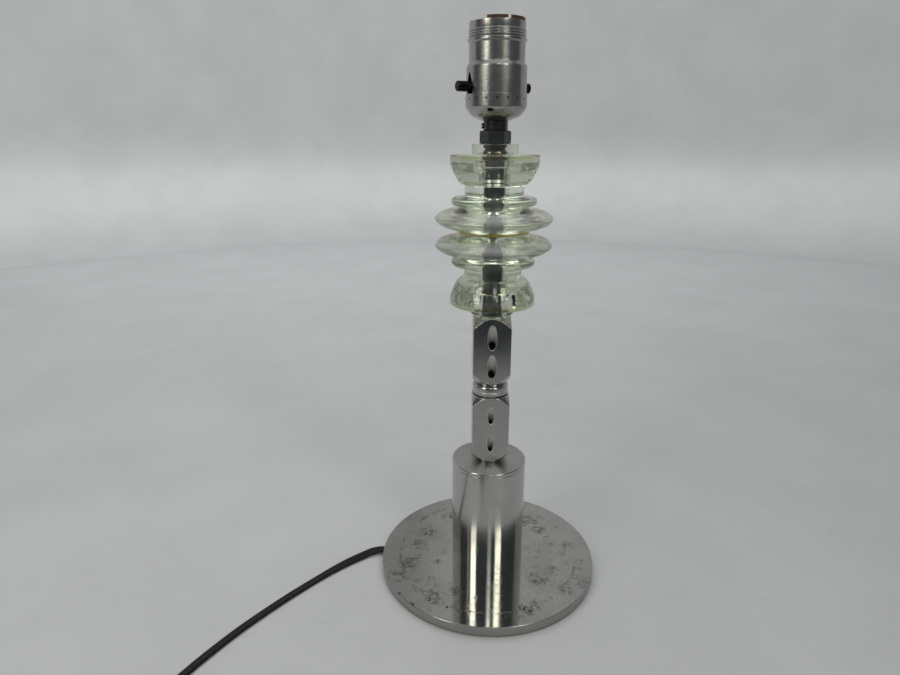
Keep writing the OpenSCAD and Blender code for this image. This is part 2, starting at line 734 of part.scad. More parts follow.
base_disc();
felt_pad();
base_screws();
column_plug();
column_tube();
column_cap();
pipe_washer();
pipe_nut();
lamp_pipe();
lower_post();
spacer_ring();
upper_post();
lower_insulator();
bond_line();
upper_insulator();
core_tube();
bright_sleeve();
threaded_nipple();
collar_bushing();
collar_gasket();
lock_nut();
socket_stem();
stem_screw();
socket_cap();
cap_insulator();
socket_shell();
shell_liner();
bulb_screw_shell();
centre_contact();
switch_body();
switch_bar();
terminal_screws();
lead_wires();
inner_cord();
cord_run();
cord_coil();
cord_tail();
plug_relief();
plug_body();
plug_blades();
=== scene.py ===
"""Table lamp of two glass insulators on an aluminium stand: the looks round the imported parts."""

import json
import math

import bmesh
import bpy
import numpy as np
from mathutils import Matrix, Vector


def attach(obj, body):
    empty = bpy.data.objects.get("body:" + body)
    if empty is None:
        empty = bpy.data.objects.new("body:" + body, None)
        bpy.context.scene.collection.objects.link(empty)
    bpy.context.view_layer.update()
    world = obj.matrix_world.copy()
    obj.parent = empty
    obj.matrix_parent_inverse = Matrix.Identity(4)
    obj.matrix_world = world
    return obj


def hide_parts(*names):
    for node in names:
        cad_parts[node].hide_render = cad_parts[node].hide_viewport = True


MM = 0.001
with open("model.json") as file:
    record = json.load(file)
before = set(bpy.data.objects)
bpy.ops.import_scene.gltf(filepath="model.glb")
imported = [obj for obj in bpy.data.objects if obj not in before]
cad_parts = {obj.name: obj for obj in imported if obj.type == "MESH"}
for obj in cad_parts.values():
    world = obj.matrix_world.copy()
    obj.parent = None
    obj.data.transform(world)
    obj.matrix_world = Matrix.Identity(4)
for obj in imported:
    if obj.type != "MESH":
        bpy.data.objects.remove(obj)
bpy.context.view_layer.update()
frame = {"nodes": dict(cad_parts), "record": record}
NODES = frame["nodes"]

# Heights of the stack, in mm
POST_Z, RING_Z, UPPER_Z, GLASS_Z = 85.25, 134.25, 141.85, 190.15
BOND_Z, UPPER_GLASS_Z, NUT_Z, SOCKET_Z = 242.15, 242.45, 294.45, 307.6
BASE_Z, COLUMN_Z, GLASS_H = 1.2, 7.55, 52.0
SLEEVE_Z, THREAD_Z, BUSHING_Z = 270.35, 277.25, 285.15
DENT_Z, BAR_Z, BULB_SHELL_Z = SOCKET_Z + 11.8, SOCKET_Z + 18.35, SOCKET_Z + 25.25
# Radii and thicknesses, in mm
DISC_R, DISC_T, COLUMN_R, LID_T = 76.2, 6.35, 25.4, 2.8
SOCKET_TURN = math.radians(25)
SHARP_DEG = 35.0


# ---- Camera ----


def make_camera():
    data = bpy.data.cameras.new("camera")
    data.lens, data.sensor_width = 25.0, 36.0
    data.clip_start, data.clip_end = 0.01, 20
    cam = bpy.data.objects.new("camera", data)
    bpy.context.scene.collection.objects.link(cam)
    cam.location = (-0.0271, -0.3923, 0.2963)
    cam.rotation_euler = (math.radians(90 - 17.48), 0, 0)
    bpy.context.scene.camera = cam


make_camera()


# ---- Mesh helpers ----


def mesh_object(name, verts, faces, material=None, sharp_deg=SHARP_DEG, smooth=True):
    mesh = bpy.data.meshes.new(name)
    mesh.from_pydata([tuple(v) for v in verts], [], faces)
    bm = bmesh.new()
    bm.from_mesh(mesh)
    bmesh.ops.recalc_face_normals(bm, faces=bm.faces)
    bm.to_mesh(mesh)
    bm.free()
    mesh.polygons.foreach_set("use_smooth", [smooth] * len(mesh.polygons))
    if smooth:
        mesh.set_sharp_from_angle(angle=math.radians(sharp_deg))
    obj = bpy.data.objects.new(name, mesh)
    bpy.context.scene.collection.objects.link(obj)
    if material:
        mesh.materials.append(material)
    return obj


def rounded(corners, steps=7):
    """Profile through (r, z, fillet radius) corners, with an arc at each filleted one."""
    # Longest share of a side that a fillet takes, and the distance of the point beside it
    longest, support = 0.49, 0.25
    out = []
    n = len(corners)
    for i, (x, z, rad) in enumerate(corners):
        p = Vector((x, z))
        if rad <= 0:
            out.append((x, z))
            continue
        a = Vector(corners[(i - 1) % n][:2]) - p
        b = Vector(corners[(i + 1) % n][:2]) - p
        la, lb = a.length, b.length
        a, b = a / la, b / lb
        half = math.acos(max(-1.0, min(1.0, a.dot(b)))) / 2
        cut = min(rad / math.tan(half), longest * la, longest * lb)
        r = cut * math.tan(half)
        centre = p + (a + b).normalized() * (r / math.sin(half))
        s, e = p + a * cut - centre, p + b * cut - centre
        turn = math.atan2(s.x * e.y - s.y * e.x, s.dot(e))
        a0 = math.atan2(s.y, s.x)
        arc = [(centre.x + r * math.cos(a0 + turn * k / steps),
                centre.y + r * math.sin(a0 + turn * k / steps)) for k in range(steps + 1)]
        # A point on the flat beside the arc keeps the flat's own shading flat
        if cut + 0.3 < longest * la:
            arc.insert(0, tuple(p + a * (cut + support)))
        if cut + 0.3 < longest * lb:
            arc.append(tuple(p + b * (cut + support)))
        out += arc
    return out


def lathe(name, profile, z0=0.0, seg=160, material=None, sharp_deg=SHARP_DEG, shape=None):
    """Turned piece from a closed profile of (r, z) in mm; shape may change each (r, z, angle)."""
    angles = np.linspace(0, 2 * math.pi, seg, endpoint=False)
    verts = []
    for r, z in profile:
        for a in angles:
            rr, zz = shape(r, z, a) if shape else (r, z)
            verts.append((rr * math.cos(a) * MM, rr * math.sin(a) * MM, (zz + z0) * MM))
    starts = [seg * i for i in range(len(profile))]
    faces = []
    for lo, hi in zip(starts, starts[1:] + starts[:1]):
        for k in range(seg):
            j = (k + 1) % seg
            faces.append((lo + k, lo + j, hi + j, hi + k))
    return mesh_object(name, verts, faces, material, sharp_deg)


def applied(obj):
    """The object's mesh with its modifiers in it, as a plain mesh."""
    dg = bpy.context.evaluated_depsgraph_get()
    dg.update()
    mesh = bpy.data.meshes.new_from_object(obj.evaluated_get(dg))
    obj.modifiers.clear()
    old, obj.data = obj.data, mesh
    bpy.data.meshes.remove(old)
    return obj


def cut(obj, cutters):
    for c in cutters:
        m = obj.modifiers.new("cut", "BOOLEAN")
        m.operation, m.solver, m.object = "DIFFERENCE", "EXACT", c
    bpy.context.view_layer.update()
    applied(obj)
    for c in cutters:
        bpy.data.objects.remove(c)
    obj.data.set_sharp_from_angle(angle=math.radians(SHARP_DEG))
    return obj


def stands_for(obj, slot, *nodes):
    """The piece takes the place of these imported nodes, on their body."""
    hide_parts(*nodes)
    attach(obj, "lamp")
    return obj


# ---- Cord ----

CORD_W, CORD_T = 5.3, 2.7
# Route of the loose cord: x, y, z of its centre and its tilt in degrees
RUN = [
    (-76.2, 8, 3.4, 0), (-81, 7.4, 3.3, 20), (-86, 5.4, 3, 42), (-91, 2.2, 2.7, 46),
    (-101, -5, 2.2, 30), (-111, -13.5, 1.7, 12), (-120, -22.5, 1.45, 0), (-128.5, -31.8, 1.4, 0),
    (-137, -41.6, 1.4, 0), (-145.5, -52, 1.4, 0), (-153.5, -62.3, 1.4, 0), (-161, -72.5, 1.4, 0),
    (-167.8, -82.8, 1.4, 0), (-174, -92.8, 1.4, 0), (-179.8, -103, 1.45, 0),
    (-184.6, -113.5, 1.8, 18), (-188, -124.5, 2.4, 50), (-189.8, -135, 2.75, 80),
]
TAIL = [
    (-131.8, -181.7, 7.6, 84), (-126, -178.9, 6.2, 70), (-120, -176.4, 4.6, 45),
    (-111, -173.2, 3.4, 15), (-103, -171, 4.6, 0), (-97, -169.8, 5.65, 0),
]


def smoothstep(t):
    t = min(1.0, max(0.0, t))
    return t * t * (3 - 2 * t)


def coil_points(centre=(-156, -156), outer=34.35, inner=25.65, low=2.75, high=8.1):
    """Turns of the cord on its edge: in along the table, up, and out again on top."""
    start, climb, end, step = 180.0, 120.0, 300.0 + 6 * 360, 12.0
    spiral = (end - start - climb) / 2
    out = []
    a = start
    while a < end:
        t = a - start
        if t < spiral:
            r, z = outer + (inner - outer) * t / spiral, low
        elif t < spiral + climb:
            r, z = inner, low + (high - low) * smoothstep((t - spiral) / climb)
        else:
            r, z = inner + (outer - inner) * (t - spiral - climb) / spiral, high
        b = math.radians(a)
        out.append((centre[0] + r * math.cos(b), centre[1] + r * math.sin(b), z, 90))
        a += step
    b = math.radians(end)
    out.append((centre[0] + outer * math.cos(b), centre[1] + outer * math.sin(b), high, 90))
    return out


def resample(points, step):
    """Catmull-Rom curve through the points, at an even spacing."""
    p = np.array(points, float)
    p = np.vstack([2 * p[0] - p[1], p, 2 * p[-1] - p[-2]])
    fine = []
    parts = 12
    for i in range(1, len(p) - 2):
        a, b, c, d = p[i - 1:i + 3]
        for t in np.linspace(0, 1, parts, endpoint=False):
            fine.append(0.5 * (2 * b + (c - a) * t + (2 * a - 5 * b + 4 * c - d) * t * t
                               + (3 * b - a - 3 * c + d) * t ** 3))
    fine.append(p[-2])
    fine = np.array(fine)
    along = np.r_[0, np.cumsum(np.linalg.norm(np.diff(fine[:, :3], axis=0), axis=1))]
    at = np.linspace(0, along[-1], int(along[-1] / step) + 1)
    return np.column_stack([np.interp(at, along, fine[:, k]) for k in range(4)]), along[-1]


def cord_section():
    """Two moulded lobes with a shallow groove between them, on both sides."""
    r, off = CORD_T / 2, CORD_W / 2 - CORD_T / 2
    right = [(off + r * math.cos(math.radians(a)), r * math.sin(math.radians(a)))
             for a in range(-75, 76, 15)]
    top = [(0.75, 1.27), (0.32, 1.08), (0, 0.98), (-0.32, 1.08), (-0.75, 1.27)]
    left = [(-x, -y) for x, y in right]
    return right + top + left + [(-x, -y) for x, y in top]


def make_cord(material):
    route, length = resample(RUN + coil_points() + TAIL, 2.2)
    p = route[:, :3]
    t = np.gradient(p, axis=0)
    t /= np.linalg.norm(t, axis=1)[:, None]
    level = np.cross(t, (0, 0, 1))
    level /= np.linalg.norm(level, axis=1)[:, None]
    tilt = np.radians(route[:, 3])[:, None]
    wide = level * np.cos(tilt) - np.cross(t, level) * np.sin(tilt)
    thick = np.cross(t, wide)
    section = cord_section()
    n = len(section)
    verts = [(p[i] + s[0] * wide[i] + s[1] * thick[i]) * MM for i in range(len(p)) for s in section]
    faces = [(i * n + k, i * n + (k + 1) % n, (i + 1) * n + (k + 1) % n, (i + 1) * n + k)
             for i in range(len(p) - 1) for k in range(n)]
    faces += [tuple(range(n)), tuple(range((len(p) - 1) * n, len(p) * n))]
    obj = mesh_object("loose_cord", verts, faces, material, 60)
    stands_for(obj, "cord", "cord_run", "cord_coil", "cord_tail")
    return obj


# ---- Materials ----


class Shade:
    """A node material in object coordinates, built with short calls."""

    def __init__(self, name, **inputs):
        self.mat = bpy.data.materials.new(name)
        self.mat.use_nodes = True
        self.nt = self.mat.node_tree
        self.nt.nodes.clear()
        self.out = self.nt.nodes.new("ShaderNodeOutputMaterial")
        self.bsdf = self.nt.nodes.new("ShaderNodeBsdfPrincipled")
        self.nt.links.new(self.bsdf.outputs[0], self.out.inputs["Surface"])
        self.pos = self.nt.nodes.new("ShaderNodeTexCoord").outputs["Object"]
        for k, v in inputs.items():
            self.set(k.replace("_", " "), v)

    def set(self, socket, value):
        self.put(self.bsdf.inputs[socket], value)

    def put(self, socket, value):
        if isinstance(value, bpy.types.NodeSocket):
            self.nt.links.new(value, socket)
        elif isinstance(value, tuple) and socket.type == "RGBA":
            socket.default_value = (*value, 1)
        else:
            socket.default_value = value

    def stretched(self, scale):
        n = self.nt.nodes.new("ShaderNodeMapping")
        n.inputs["Scale"].default_value = scale
        self.nt.links.new(self.pos, n.inputs["Vector"])
        return n.outputs[0]

    def xyz(self, vector=None):
        """The three parts of a vector, by default of the point."""
        n = self.nt.nodes.new("ShaderNodeSeparateXYZ")
        self.nt.links.new(vector or self.pos, n.inputs[0])
        return n.outputs

    def true_normal(self):
        return self.nt.nodes.new("ShaderNodeNewGeometry").outputs["True Normal"]

    def polar(self):
        """(radius, angle, height) of the point about the lamp's axis."""
        x, y, z = self.xyz()
        square = self.math("ADD", self.math("MULTIPLY", x, x), self.math("MULTIPLY", y, y))
        r = self.math("SQRT", square)
        return r, self.math("ARCTAN2", y, x), z

    def vector(self, x, y, z):
        n = self.nt.nodes.new("ShaderNodeCombineXYZ")
        for s, v in zip(n.inputs, (x, y, z)):
            self.put(s, v)
        return n.outputs[0]

    def noise(self, scale, detail=3.0, rough=0.5, vector=None):
        n = self.nt.nodes.new("ShaderNodeTexNoise")
        n.inputs["Scale"].default_value = scale
        n.inputs["Detail"].default_value = detail
        n.inputs["Roughness"].default_value = rough
        self.nt.links.new(vector or self.pos, n.inputs["Vector"])
        return n.outputs[0]

    def cells(self, scale):
        n = self.nt.nodes.new("ShaderNodeTexVoronoi")
        n.inputs["Scale"].default_value = scale
        self.nt.links.new(self.pos, n.inputs["Vector"])
        return n.outputs["Distance"]

    def math(self, op, a, b=0.0, clamp=False):
        n = self.nt.nodes.new("ShaderNodeMath")
        n.operation, n.use_clamp = op, clamp
        self.put(n.inputs[0], a)
        self.put(n.inputs[1], b)
        return n.outputs[0]

    def span(self, value, a, b, to_a=0.0, to_b=1.0):
        """Value between a and b mapped to to_a .. to_b, held at the ends."""
        n = self.nt.nodes.new("ShaderNodeMapRange")
        n.interpolation_type = "SMOOTHSTEP"
        self.put(n.inputs["Value"], value)
        for k, v in (("From Min", a), ("From Max", b), ("To Min", to_a), ("To Max", to_b)):
            n.inputs[k].default_value = v
        return n.outputs[0]

    def band(self, value, centre, half, soft):
        """1 within half of the centre, falling to 0 over soft."""
        off = self.math("ABSOLUTE", self.math("SUBTRACT", value, centre))
        return self.span(off, half, half + soft, 1, 0)

    def mix(self, fac, a, b):
        n = self.nt.nodes.new("ShaderNodeMix")
        n.data_type = "RGBA"
        self.put(n.inputs[0], fac)
        self.put(n.inputs[6], a)
        self.put(n.inputs[7], b)
        return n.outputs[2]

    def near(self, spots, soft=0.45):
        """Mask of soft round spots given as (x, y, z, radius) in mm, with ragged edges."""
        ragged = self.noise(260, 4, 0.6)
        total = None
        for x, y, z, r in spots:
            d = self.nt.nodes.new("ShaderNodeVectorMath")
            d.operation = "DISTANCE"
            self.nt.links.new(self.pos, d.inputs[0])
            d.inputs[1].default_value = (x * MM, y * MM, z * MM)
            m = self.span(d.outputs["Value"], r * MM * (1 - soft), r * MM * (1 + soft), 1, 0)
            total = m if total is None else self.math("MAXIMUM", total, m)
        return self.math("MULTIPLY", total, self.span(ragged, 0.38, 0.58))

    def bump(self, height, strength, distance, normal=None):
        n = self.nt.nodes.new("ShaderNodeBump")
        n.inputs["Strength"].default_value = strength
        n.inputs["Distance"].default_value = distance
        self.nt.links.new(height, n.inputs["Height"])
        if normal:
            self.nt.links.new(normal, n.inputs["Normal"])
        return n.outputs[0]

    def edges(self, radius):
        """Normal that rounds every sharp edge a little."""
        n = self.nt.nodes.new("ShaderNodeBevel")
        n.samples = 6
        n.inputs["Radius"].default_value = radius
        return n.outputs[0]


def disc_material():
    """Polished disc, stained and pitted where drops have dried on it."""
    s = Shade("aluminium_base", Metallic=1.0)
    r, angle, z = s.polar()
    top_z = 7.5
    top = s.span(z, 7.2 * MM, top_z * MM)
    rings = s.noise(1, 4, 0.7, s.vector(s.math("MULTIPLY", r, 1800),
                                        s.math("MULTIPLY", angle, 1.2), 0))
    mottle = s.noise(38, 7, 0.72)
    grain = s.span(s.noise(650, 4, 0.7), 0.44, 0.60)
    patchy = s.noise(85, 7, 0.75)
    specks = s.math("MULTIPLY", s.span(s.cells(520), 0.10, 0.26, 1, 0),
                    s.span(s.noise(30, 4, 0.6), 0.46, 0.60))
    # Where drops dried: x, y and radius
    drops = [
        (-44, 24, 6), (-50, 9, 5.5), (-53, -5, 5), (-57, -14, 6.5), (-36, -12, 3), (-27, 45, 6),
        (-60, -27, 5), (-66, -28, 6), (-44, -37, 9), (-36, -50, 7), (-22, -43, 5), (-20, -57, 5),
        (35, 38, 8), (41, 27, 6), (50, 13, 6), (60, 8, 5), (55, -3, 3), (34, -30, 7),
        (44, -22, 5), (51, -41, 5), (29, -56, 5), (64, -36, 4), (22, -60, 6)]
    drops = s.near([(x, y, top_z, size) for x, y, size in drops])
    drops = s.math("MULTIPLY", drops, s.span(patchy, 0.38, 0.52))
    dried = s.math("MULTIPLY", s.band(r, 63.5 * MM, 0.2 * MM, 1.2 * MM), s.span(patchy, 0.47, 0.56))
    ghost = s.math("MULTIPLY", s.band(s.cells(120), 0.26, 0.03, 0.06),
                   s.span(s.noise(21, 2), 0.58, 0.66))
    loose = s.math("MULTIPLY", s.span(patchy, 0.56, 0.68), 0.6)
    worn = s.math("MAXIMUM", s.math("MAXIMUM", drops, dried),
                  s.math("MAXIMUM", s.math("MULTIPLY", ghost, 0.4), loose))
    worn = s.math("MULTIPLY", worn, s.math("ADD", 0.35, s.math("MULTIPLY", grain, 0.65)))
    worn = s.math("MULTIPLY", s.math("MAXIMUM", worn, s.math("MULTIPLY", specks, 0.7)), top)
    haze = s.math("MULTIPLY", s.span(mottle, 0.36, 0.66), 0.6)
    base = s.mix(haze, (0.56, 0.56, 0.53), (0.42, 0.42, 0.395))
    pits = s.math("MULTIPLY", s.span(s.noise(1100, 3, 0.7), 0.4, 0.66), 0.35)
    base = s.mix(pits, base, (0.24, 0.24, 0.22))
    base = s.mix(s.span(s.xyz()[0], -62 * MM, -18 * MM, 0.42, 0), base, (0.16, 0.16, 0.145))
    base = s.mix(s.math("MULTIPLY", worn, 1.0, True), base, (0.085, 0.082, 0.07))
    chips = s.near([(-61, -45, 6.8, 1.3), (-52, -55, 6.6, 1.9), (-29, -58, top_z, 0.9),
                    (-55, -6, top_z, 0.7)], 0.3)
    base = s.mix(chips, base, (0.035, 0.015, 0.010))
    s.set("Base Color", s.mix(top, (0.36, 0.36, 0.34), base))
    rough = s.math("ADD", s.span(mottle, 0.3, 0.7, 0.045, 0.10), s.math("MULTIPLY", worn, 0.34))
    rough = s.math("ADD", rough, s.math("MULTIPLY", s.math("SUBTRACT", 1.0, top), 0.25))
    s.set("Roughness", s.math("ADD", rough, s.math("MULTIPLY", chips, 0.4)))
    s.set("Normal", s.bump(s.math("ADD", rings, s.math("MULTIPLY", worn, -2.0)), 0.025, 0.0003))
    return s.mat


def turned_material(name, colour, rough, streak=0.03, wear=0.35, lines="around", stretch=0.0,
                    flat_rough=0.0, dent_shade=False):
    """Polished aluminium with fine turning or polishing marks and scattered nicks."""
    s = Shade(name, Metallic=1.0)
    r, angle, z = s.polar()
    if lines == "around":
        along = s.vector(s.math("MULTIPLY", z, 2600), s.math("MULTIPLY", angle, 0.8), 0)
    else:
        along = s.vector(s.math("MULTIPLY", angle, 60), s.math("MULTIPLY", z, 30), 0)
    marks = s.noise(1, 3, 0.6, along)
    mottle = s.noise(55, 6, 0.7)
    nicks = s.math("MULTIPLY", s.span(s.cells(230), 0.06, 0.16, 1, 0),
                   s.span(s.noise(24, 3), 0.56, 0.68))
    base = s.mix(s.math("MULTIPLY", s.span(mottle, 0.45, 0.75), wear), colour,
                 tuple(c * 0.82 for c in colour))
    base = s.mix(s.math("MULTIPLY", nicks, 0.7), base, tuple(c * 0.5 for c in colour))
    if dent_shade:
        # Painted shade in the bottoms of the dents pressed round the cap
        dent_shade_mask = s.math("MULTIPLY", s.band(z, DENT_Z * MM, 0.7 * MM, 0.1 * MM),
                      s.span(r, 18.03 * MM, 18.09 * MM, 1, 0))
        base = s.mix(dent_shade_mask, base, (0.03, 0.03, 0.03))
    s.set("Base Color", base)
    roughness = s.math("ADD", s.span(mottle, 0.35, 0.7, rough, rough * 1.4),
                       s.math("MULTIPLY", nicks, 0.25))
    if stretch:
        # The turning grooves spread reflections along the axis
        tangent = s.nt.nodes.new("ShaderNodeTangent")
        tangent.direction_type, tangent.axis = "RADIAL", "Z"
        s.set("Tangent", tangent.outputs[0])
        s.set("Anisotropic", stretch)
        s.set("Anisotropic Rotation", 0.25)
    if flat_rough:
        level = s.span(s.xyz(s.true_normal())[2], 0.6, 0.9, 0, flat_rough)
        roughness = s.math("ADD", roughness, level)
    s.set("Roughness", roughness)
    s.set("Normal", s.bump(marks, streak, 0.0003))
    return s.mat


def post_material():
    """Milled bar with satin flats, faint draw lines, softened edges with a painted highlight, and
    dull drilled holes with painted light and shade inside.
    """
    s = Shade("aluminium_post", Metallic=1.0)
    x, y, z = s.xyz()
    drilled = s.math("MULTIPLY", s.band(x, 0, 3.3 * MM, 0.05 * MM),
                     s.span(y, -12.15 * MM, -12.1 * MM))
    drilled = s.math("MULTIPLY", drilled, s.math("SUBTRACT", 1, s.span(y, -2 * MM, 0)))
    zones = s.math("MAXIMUM", s.band(z, (POST_Z + 24.5) * MM, 19 * MM, 0.1 * MM),
                   s.band(z, (UPPER_Z + 23) * MM, 18 * MM, 0.1 * MM))
    drilled = s.math("MULTIPLY", drilled, zones)
    draw = s.noise(1, 4, 0.6, s.stretched((900, 900, 14)))
    mottle = s.noise(70, 6, 0.7)
    smear = s.noise(26, 4, 0.6, s.stretched((1.5, 1.5, 0.5)))
    nicks = s.math("MULTIPLY", s.span(s.cells(260), 0.08, 0.18, 1, 0),
                   s.span(s.noise(40, 3), 0.54, 0.66))
    base = s.mix(s.span(mottle, 0.4, 0.7, 0, 0.5), (0.45, 0.45, 0.435), (0.36, 0.36, 0.345))
    base = s.mix(s.math("MULTIPLY", nicks, 0.6), base, (0.2, 0.2, 0.19))
    # Painted light and shade in the drilled holes: a light trough for the reflected lights, near
    # black where the hole goes deep
    upper = s.span(z, RING_Z * MM, (RING_Z + 1) * MM)
    hole_shade_mask = s.mix(upper, s.span(y, -8.5 * MM, -7.8 * MM), s.span(y, -8.3 * MM, -7.3 * MM))
    wall = s.mix(hole_shade_mask, (0.66, 0.66, 0.63), (0.04, 0.045, 0.05))
    # Painted highlight: a bright line along every edge
    dot = s.nt.nodes.new("ShaderNodeVectorMath")
    dot.operation = "DOT_PRODUCT"
    s.nt.links.new(s.edges(0.0004), dot.inputs[0])
    s.nt.links.new(s.true_normal(), dot.inputs[1])
    line = s.span(dot.outputs["Value"], 0.97, 0.998, 1, 0)
    base = s.mix(s.math("MULTIPLY", line, s.math("SUBTRACT", 1, drilled)), base, (0.92, 0.92, 0.90))
    s.set("Base Color", s.mix(drilled, base, wall))
    rough = s.math("ADD", s.span(smear, 0.35, 0.65, 0.13, 0.21),
                   s.math("MULTIPLY", s.math("MAXIMUM", nicks, line), 0.2))
    s.set("Roughness", s.math("MAXIMUM", rough, s.math("MULTIPLY", drilled, 0.55)))
    s.set("Normal", s.bump(draw, 0.04, 0.0003, s.edges(0.00035)))
    return s.mat


def plain_metal(name, colour, rough, grain=300.0, vary=0.25):
    s = Shade(name, Metallic=1.0)
    n = s.noise(grain, 4, 0.6)
    s.set("Base Color", s.mix(s.span(n, 0.35, 0.65, 0, vary), colour,
                              tuple(c * 0.6 for c in colour)))
    s.set("Roughness", s.span(n, 0.3, 0.7, rough, rough * 1.5))
    s.set("Normal", s.bump(n, 0.05, 0.0001, s.edges(0.0002)))
    return s.mat


def coated(name, colour, rough, grain=500.0, coat=0.0, bump=0.05, bevel=0.0002, shine=0.5):
    s = Shade(name, Metallic=0.0)
    s.set("Specular IOR Level", shine)
    n = s.noise(grain, 4, 0.6)
    s.set("Base Color", s.mix(s.span(n, 0.35, 0.65, 0, 0.35), colour,
                              tuple(c * 0.55 for c in colour)))
    s.set("Roughness", s.span(n, 0.3, 0.7, rough, min(1.0, rough * 1.35)))
    s.set("Coat Weight", coat)
    s.set("Normal", s.bump(n, bump, 0.0001, s.edges(bevel)))
    return s.mat


def fibre_material():
    s = Shade("fibre")
    n = s.noise(1, 5, 0.65, s.stretched((700, 700, 120)))
    brown = s.mix(s.span(n, 0.35, 0.65), (0.10, 0.036, 0.010), (0.035, 0.014, 0.006))
    s.set("Base Color", s.mix(s.span(s.polar()[2], 0.340, 0.352), (0.012, 0.010, 0.009), brown))
    s.set("Roughness", 0.62)
    s.set("Normal", s.bump(n, 0.15, 0.0002))
    return s.mat


def felt_material():
    s = Shade("felt")
    n = s.noise(1400, 4, 0.7)
    s.set("Base Color", s.mix(n, (0.02, 0.02, 0.02), (0.06, 0.06, 0.058)))
    s.set("Roughness", 0.95)
    s.set("Sheen Weight", 0.3)
    s.set("Normal", s.bump(n, 0.6, 0.0004))
    return s.mat


def glass_material():
    """Old pressed glass: faint green, a little wavy, dull and tinted on its rims and skirts; the
    amber and dark tints at its left and right sides are painted shade.
    """
    s = Shade("glass", Roughness=0.0, IOR=1.5)
    r, angle, z = s.polar()
    wave = s.noise(48, 3, 0.5)
    ripple = s.noise(1, 2, 0.5, s.vector(s.math("MULTIPLY", angle, 2.5),
                                         s.math("MULTIPLY", z, 420), 0))
    grit = s.noise(330, 4, 0.6)
    # Rough moulded zone inside the shoulder of each flange, kept to the left and right sides, where
    # it also carries painted shade
    high = s.band(z, (UPPER_GLASS_Z + GLASS_H - 12.7) * MM, 2.0 * MM, 0.5 * MM)
    low = s.band(z, (GLASS_Z + 14.5) * MM, 4.6 * MM, 1.5 * MM)
    zone = s.math("MULTIPLY", s.math("MAXIMUM", high, low), s.span(r, 22 * MM, 23 * MM))
    zone = s.math("MULTIPLY", zone, s.span(s.noise(210, 5, 0.7), 0.44, 0.55))
    # Left and right sides of the glass, where the tints below are painted shade
    side = s.span(s.math("ABSOLUTE", s.xyz()[0]), 12.5 * MM, 16 * MM)
    zone = s.math("MULTIPLY", zone, side)
    rim = s.math("MAXIMUM", s.band(z, (UPPER_GLASS_Z + GLASS_H - 7.4) * MM, 1.2 * MM, 0.6 * MM),
                 s.band(z, (GLASS_Z + 8.0) * MM, 1.5 * MM, 1 * MM))
    rim = s.math("MULTIPLY", rim, s.span(r, 24.5 * MM, 26 * MM))
    skirt = s.span(r, 25 * MM, 32 * MM)
    blot = s.span(s.noise(60, 5, 0.65), 0.45, 0.60)
    amber = s.math("MULTIPLY", blot, s.band(r, 27 * MM, 3 * MM, 4 * MM))
    amber = s.math("MULTIPLY", amber, s.band(z, BOND_Z * MM, 11.5 * MM, 2 * MM))
    # Painted shade: the amber tint is put only at the left and right sides
    tint = s.mix(s.math("MULTIPLY", amber, side), (0.985, 0.99, 0.98), (0.72, 0.60, 0.26))
    tint = s.mix(rim, tint, (0.70, 0.68, 0.50))
    stain = s.math("MAXIMUM", s.math("MULTIPLY", rim, 0.2), s.math("MULTIPLY", amber, 0.6))
    # Painted shade: the rough zone darkens the tint at the sides
    s.set("Base Color", s.mix(s.math("MULTIPLY", zone, 0.8), tint, (0.30, 0.29, 0.17)))
    dull = s.math("MAXIMUM", s.math("MULTIPLY", skirt, 0.15), s.math("MULTIPLY", stain, 0.18))
    dull = s.math("MAXIMUM", dull, s.math("MULTIPLY", zone, 0.03))
    s.set("Transmission Weight", s.math("SUBTRACT", 0.985, s.math("MULTIPLY", dull, 1.3)))
    s.set("Roughness", s.math("ADD", 0.012, s.math("MULTIPLY", dull, 0.9)))
    n = s.bump(wave, 0.12, 0.0012)
    n = s.bump(ripple, 0.05, 0.0004, n)
    s.set("Normal", s.bump(s.math("MULTIPLY", grit, zone), 1.0, 0.0035, n))
    body = s.nt.nodes.new("ShaderNodeVolumeAbsorption")
    body.inputs["Color"].default_value = (0.71, 0.80, 0.61, 1)
    body.inputs["Density"].default_value = 21.0
    s.nt.links.new(body.outputs[0], s.out.inputs["Volume"])
    return s.mat


def cord_material():
    s = Shade("cord")
    s.set("Specular IOR Level", 0.25)
    n = s.noise(700, 4, 0.6)
    s.set("Base Color", s.mix(s.span(n, 0.4, 0.7), (0.006, 0.006, 0.006), (0.014, 0.014, 0.014)))
    s.set("Roughness", s.span(s.noise(90, 3), 0.35, 0.65, 0.36, 0.52))
    s.set("Normal", s.bump(n, 0.06, 0.0001))
    return s.mat


def glue_material():
    s = Shade("glue", Roughness=0.4)
    n = s.noise(160, 4, 0.6)
    s.set("Base Color", s.mix(s.span(n, 0.4, 0.6), (0.36, 0.27, 0.015), (0.52, 0.41, 0.05)))
    return s.mat


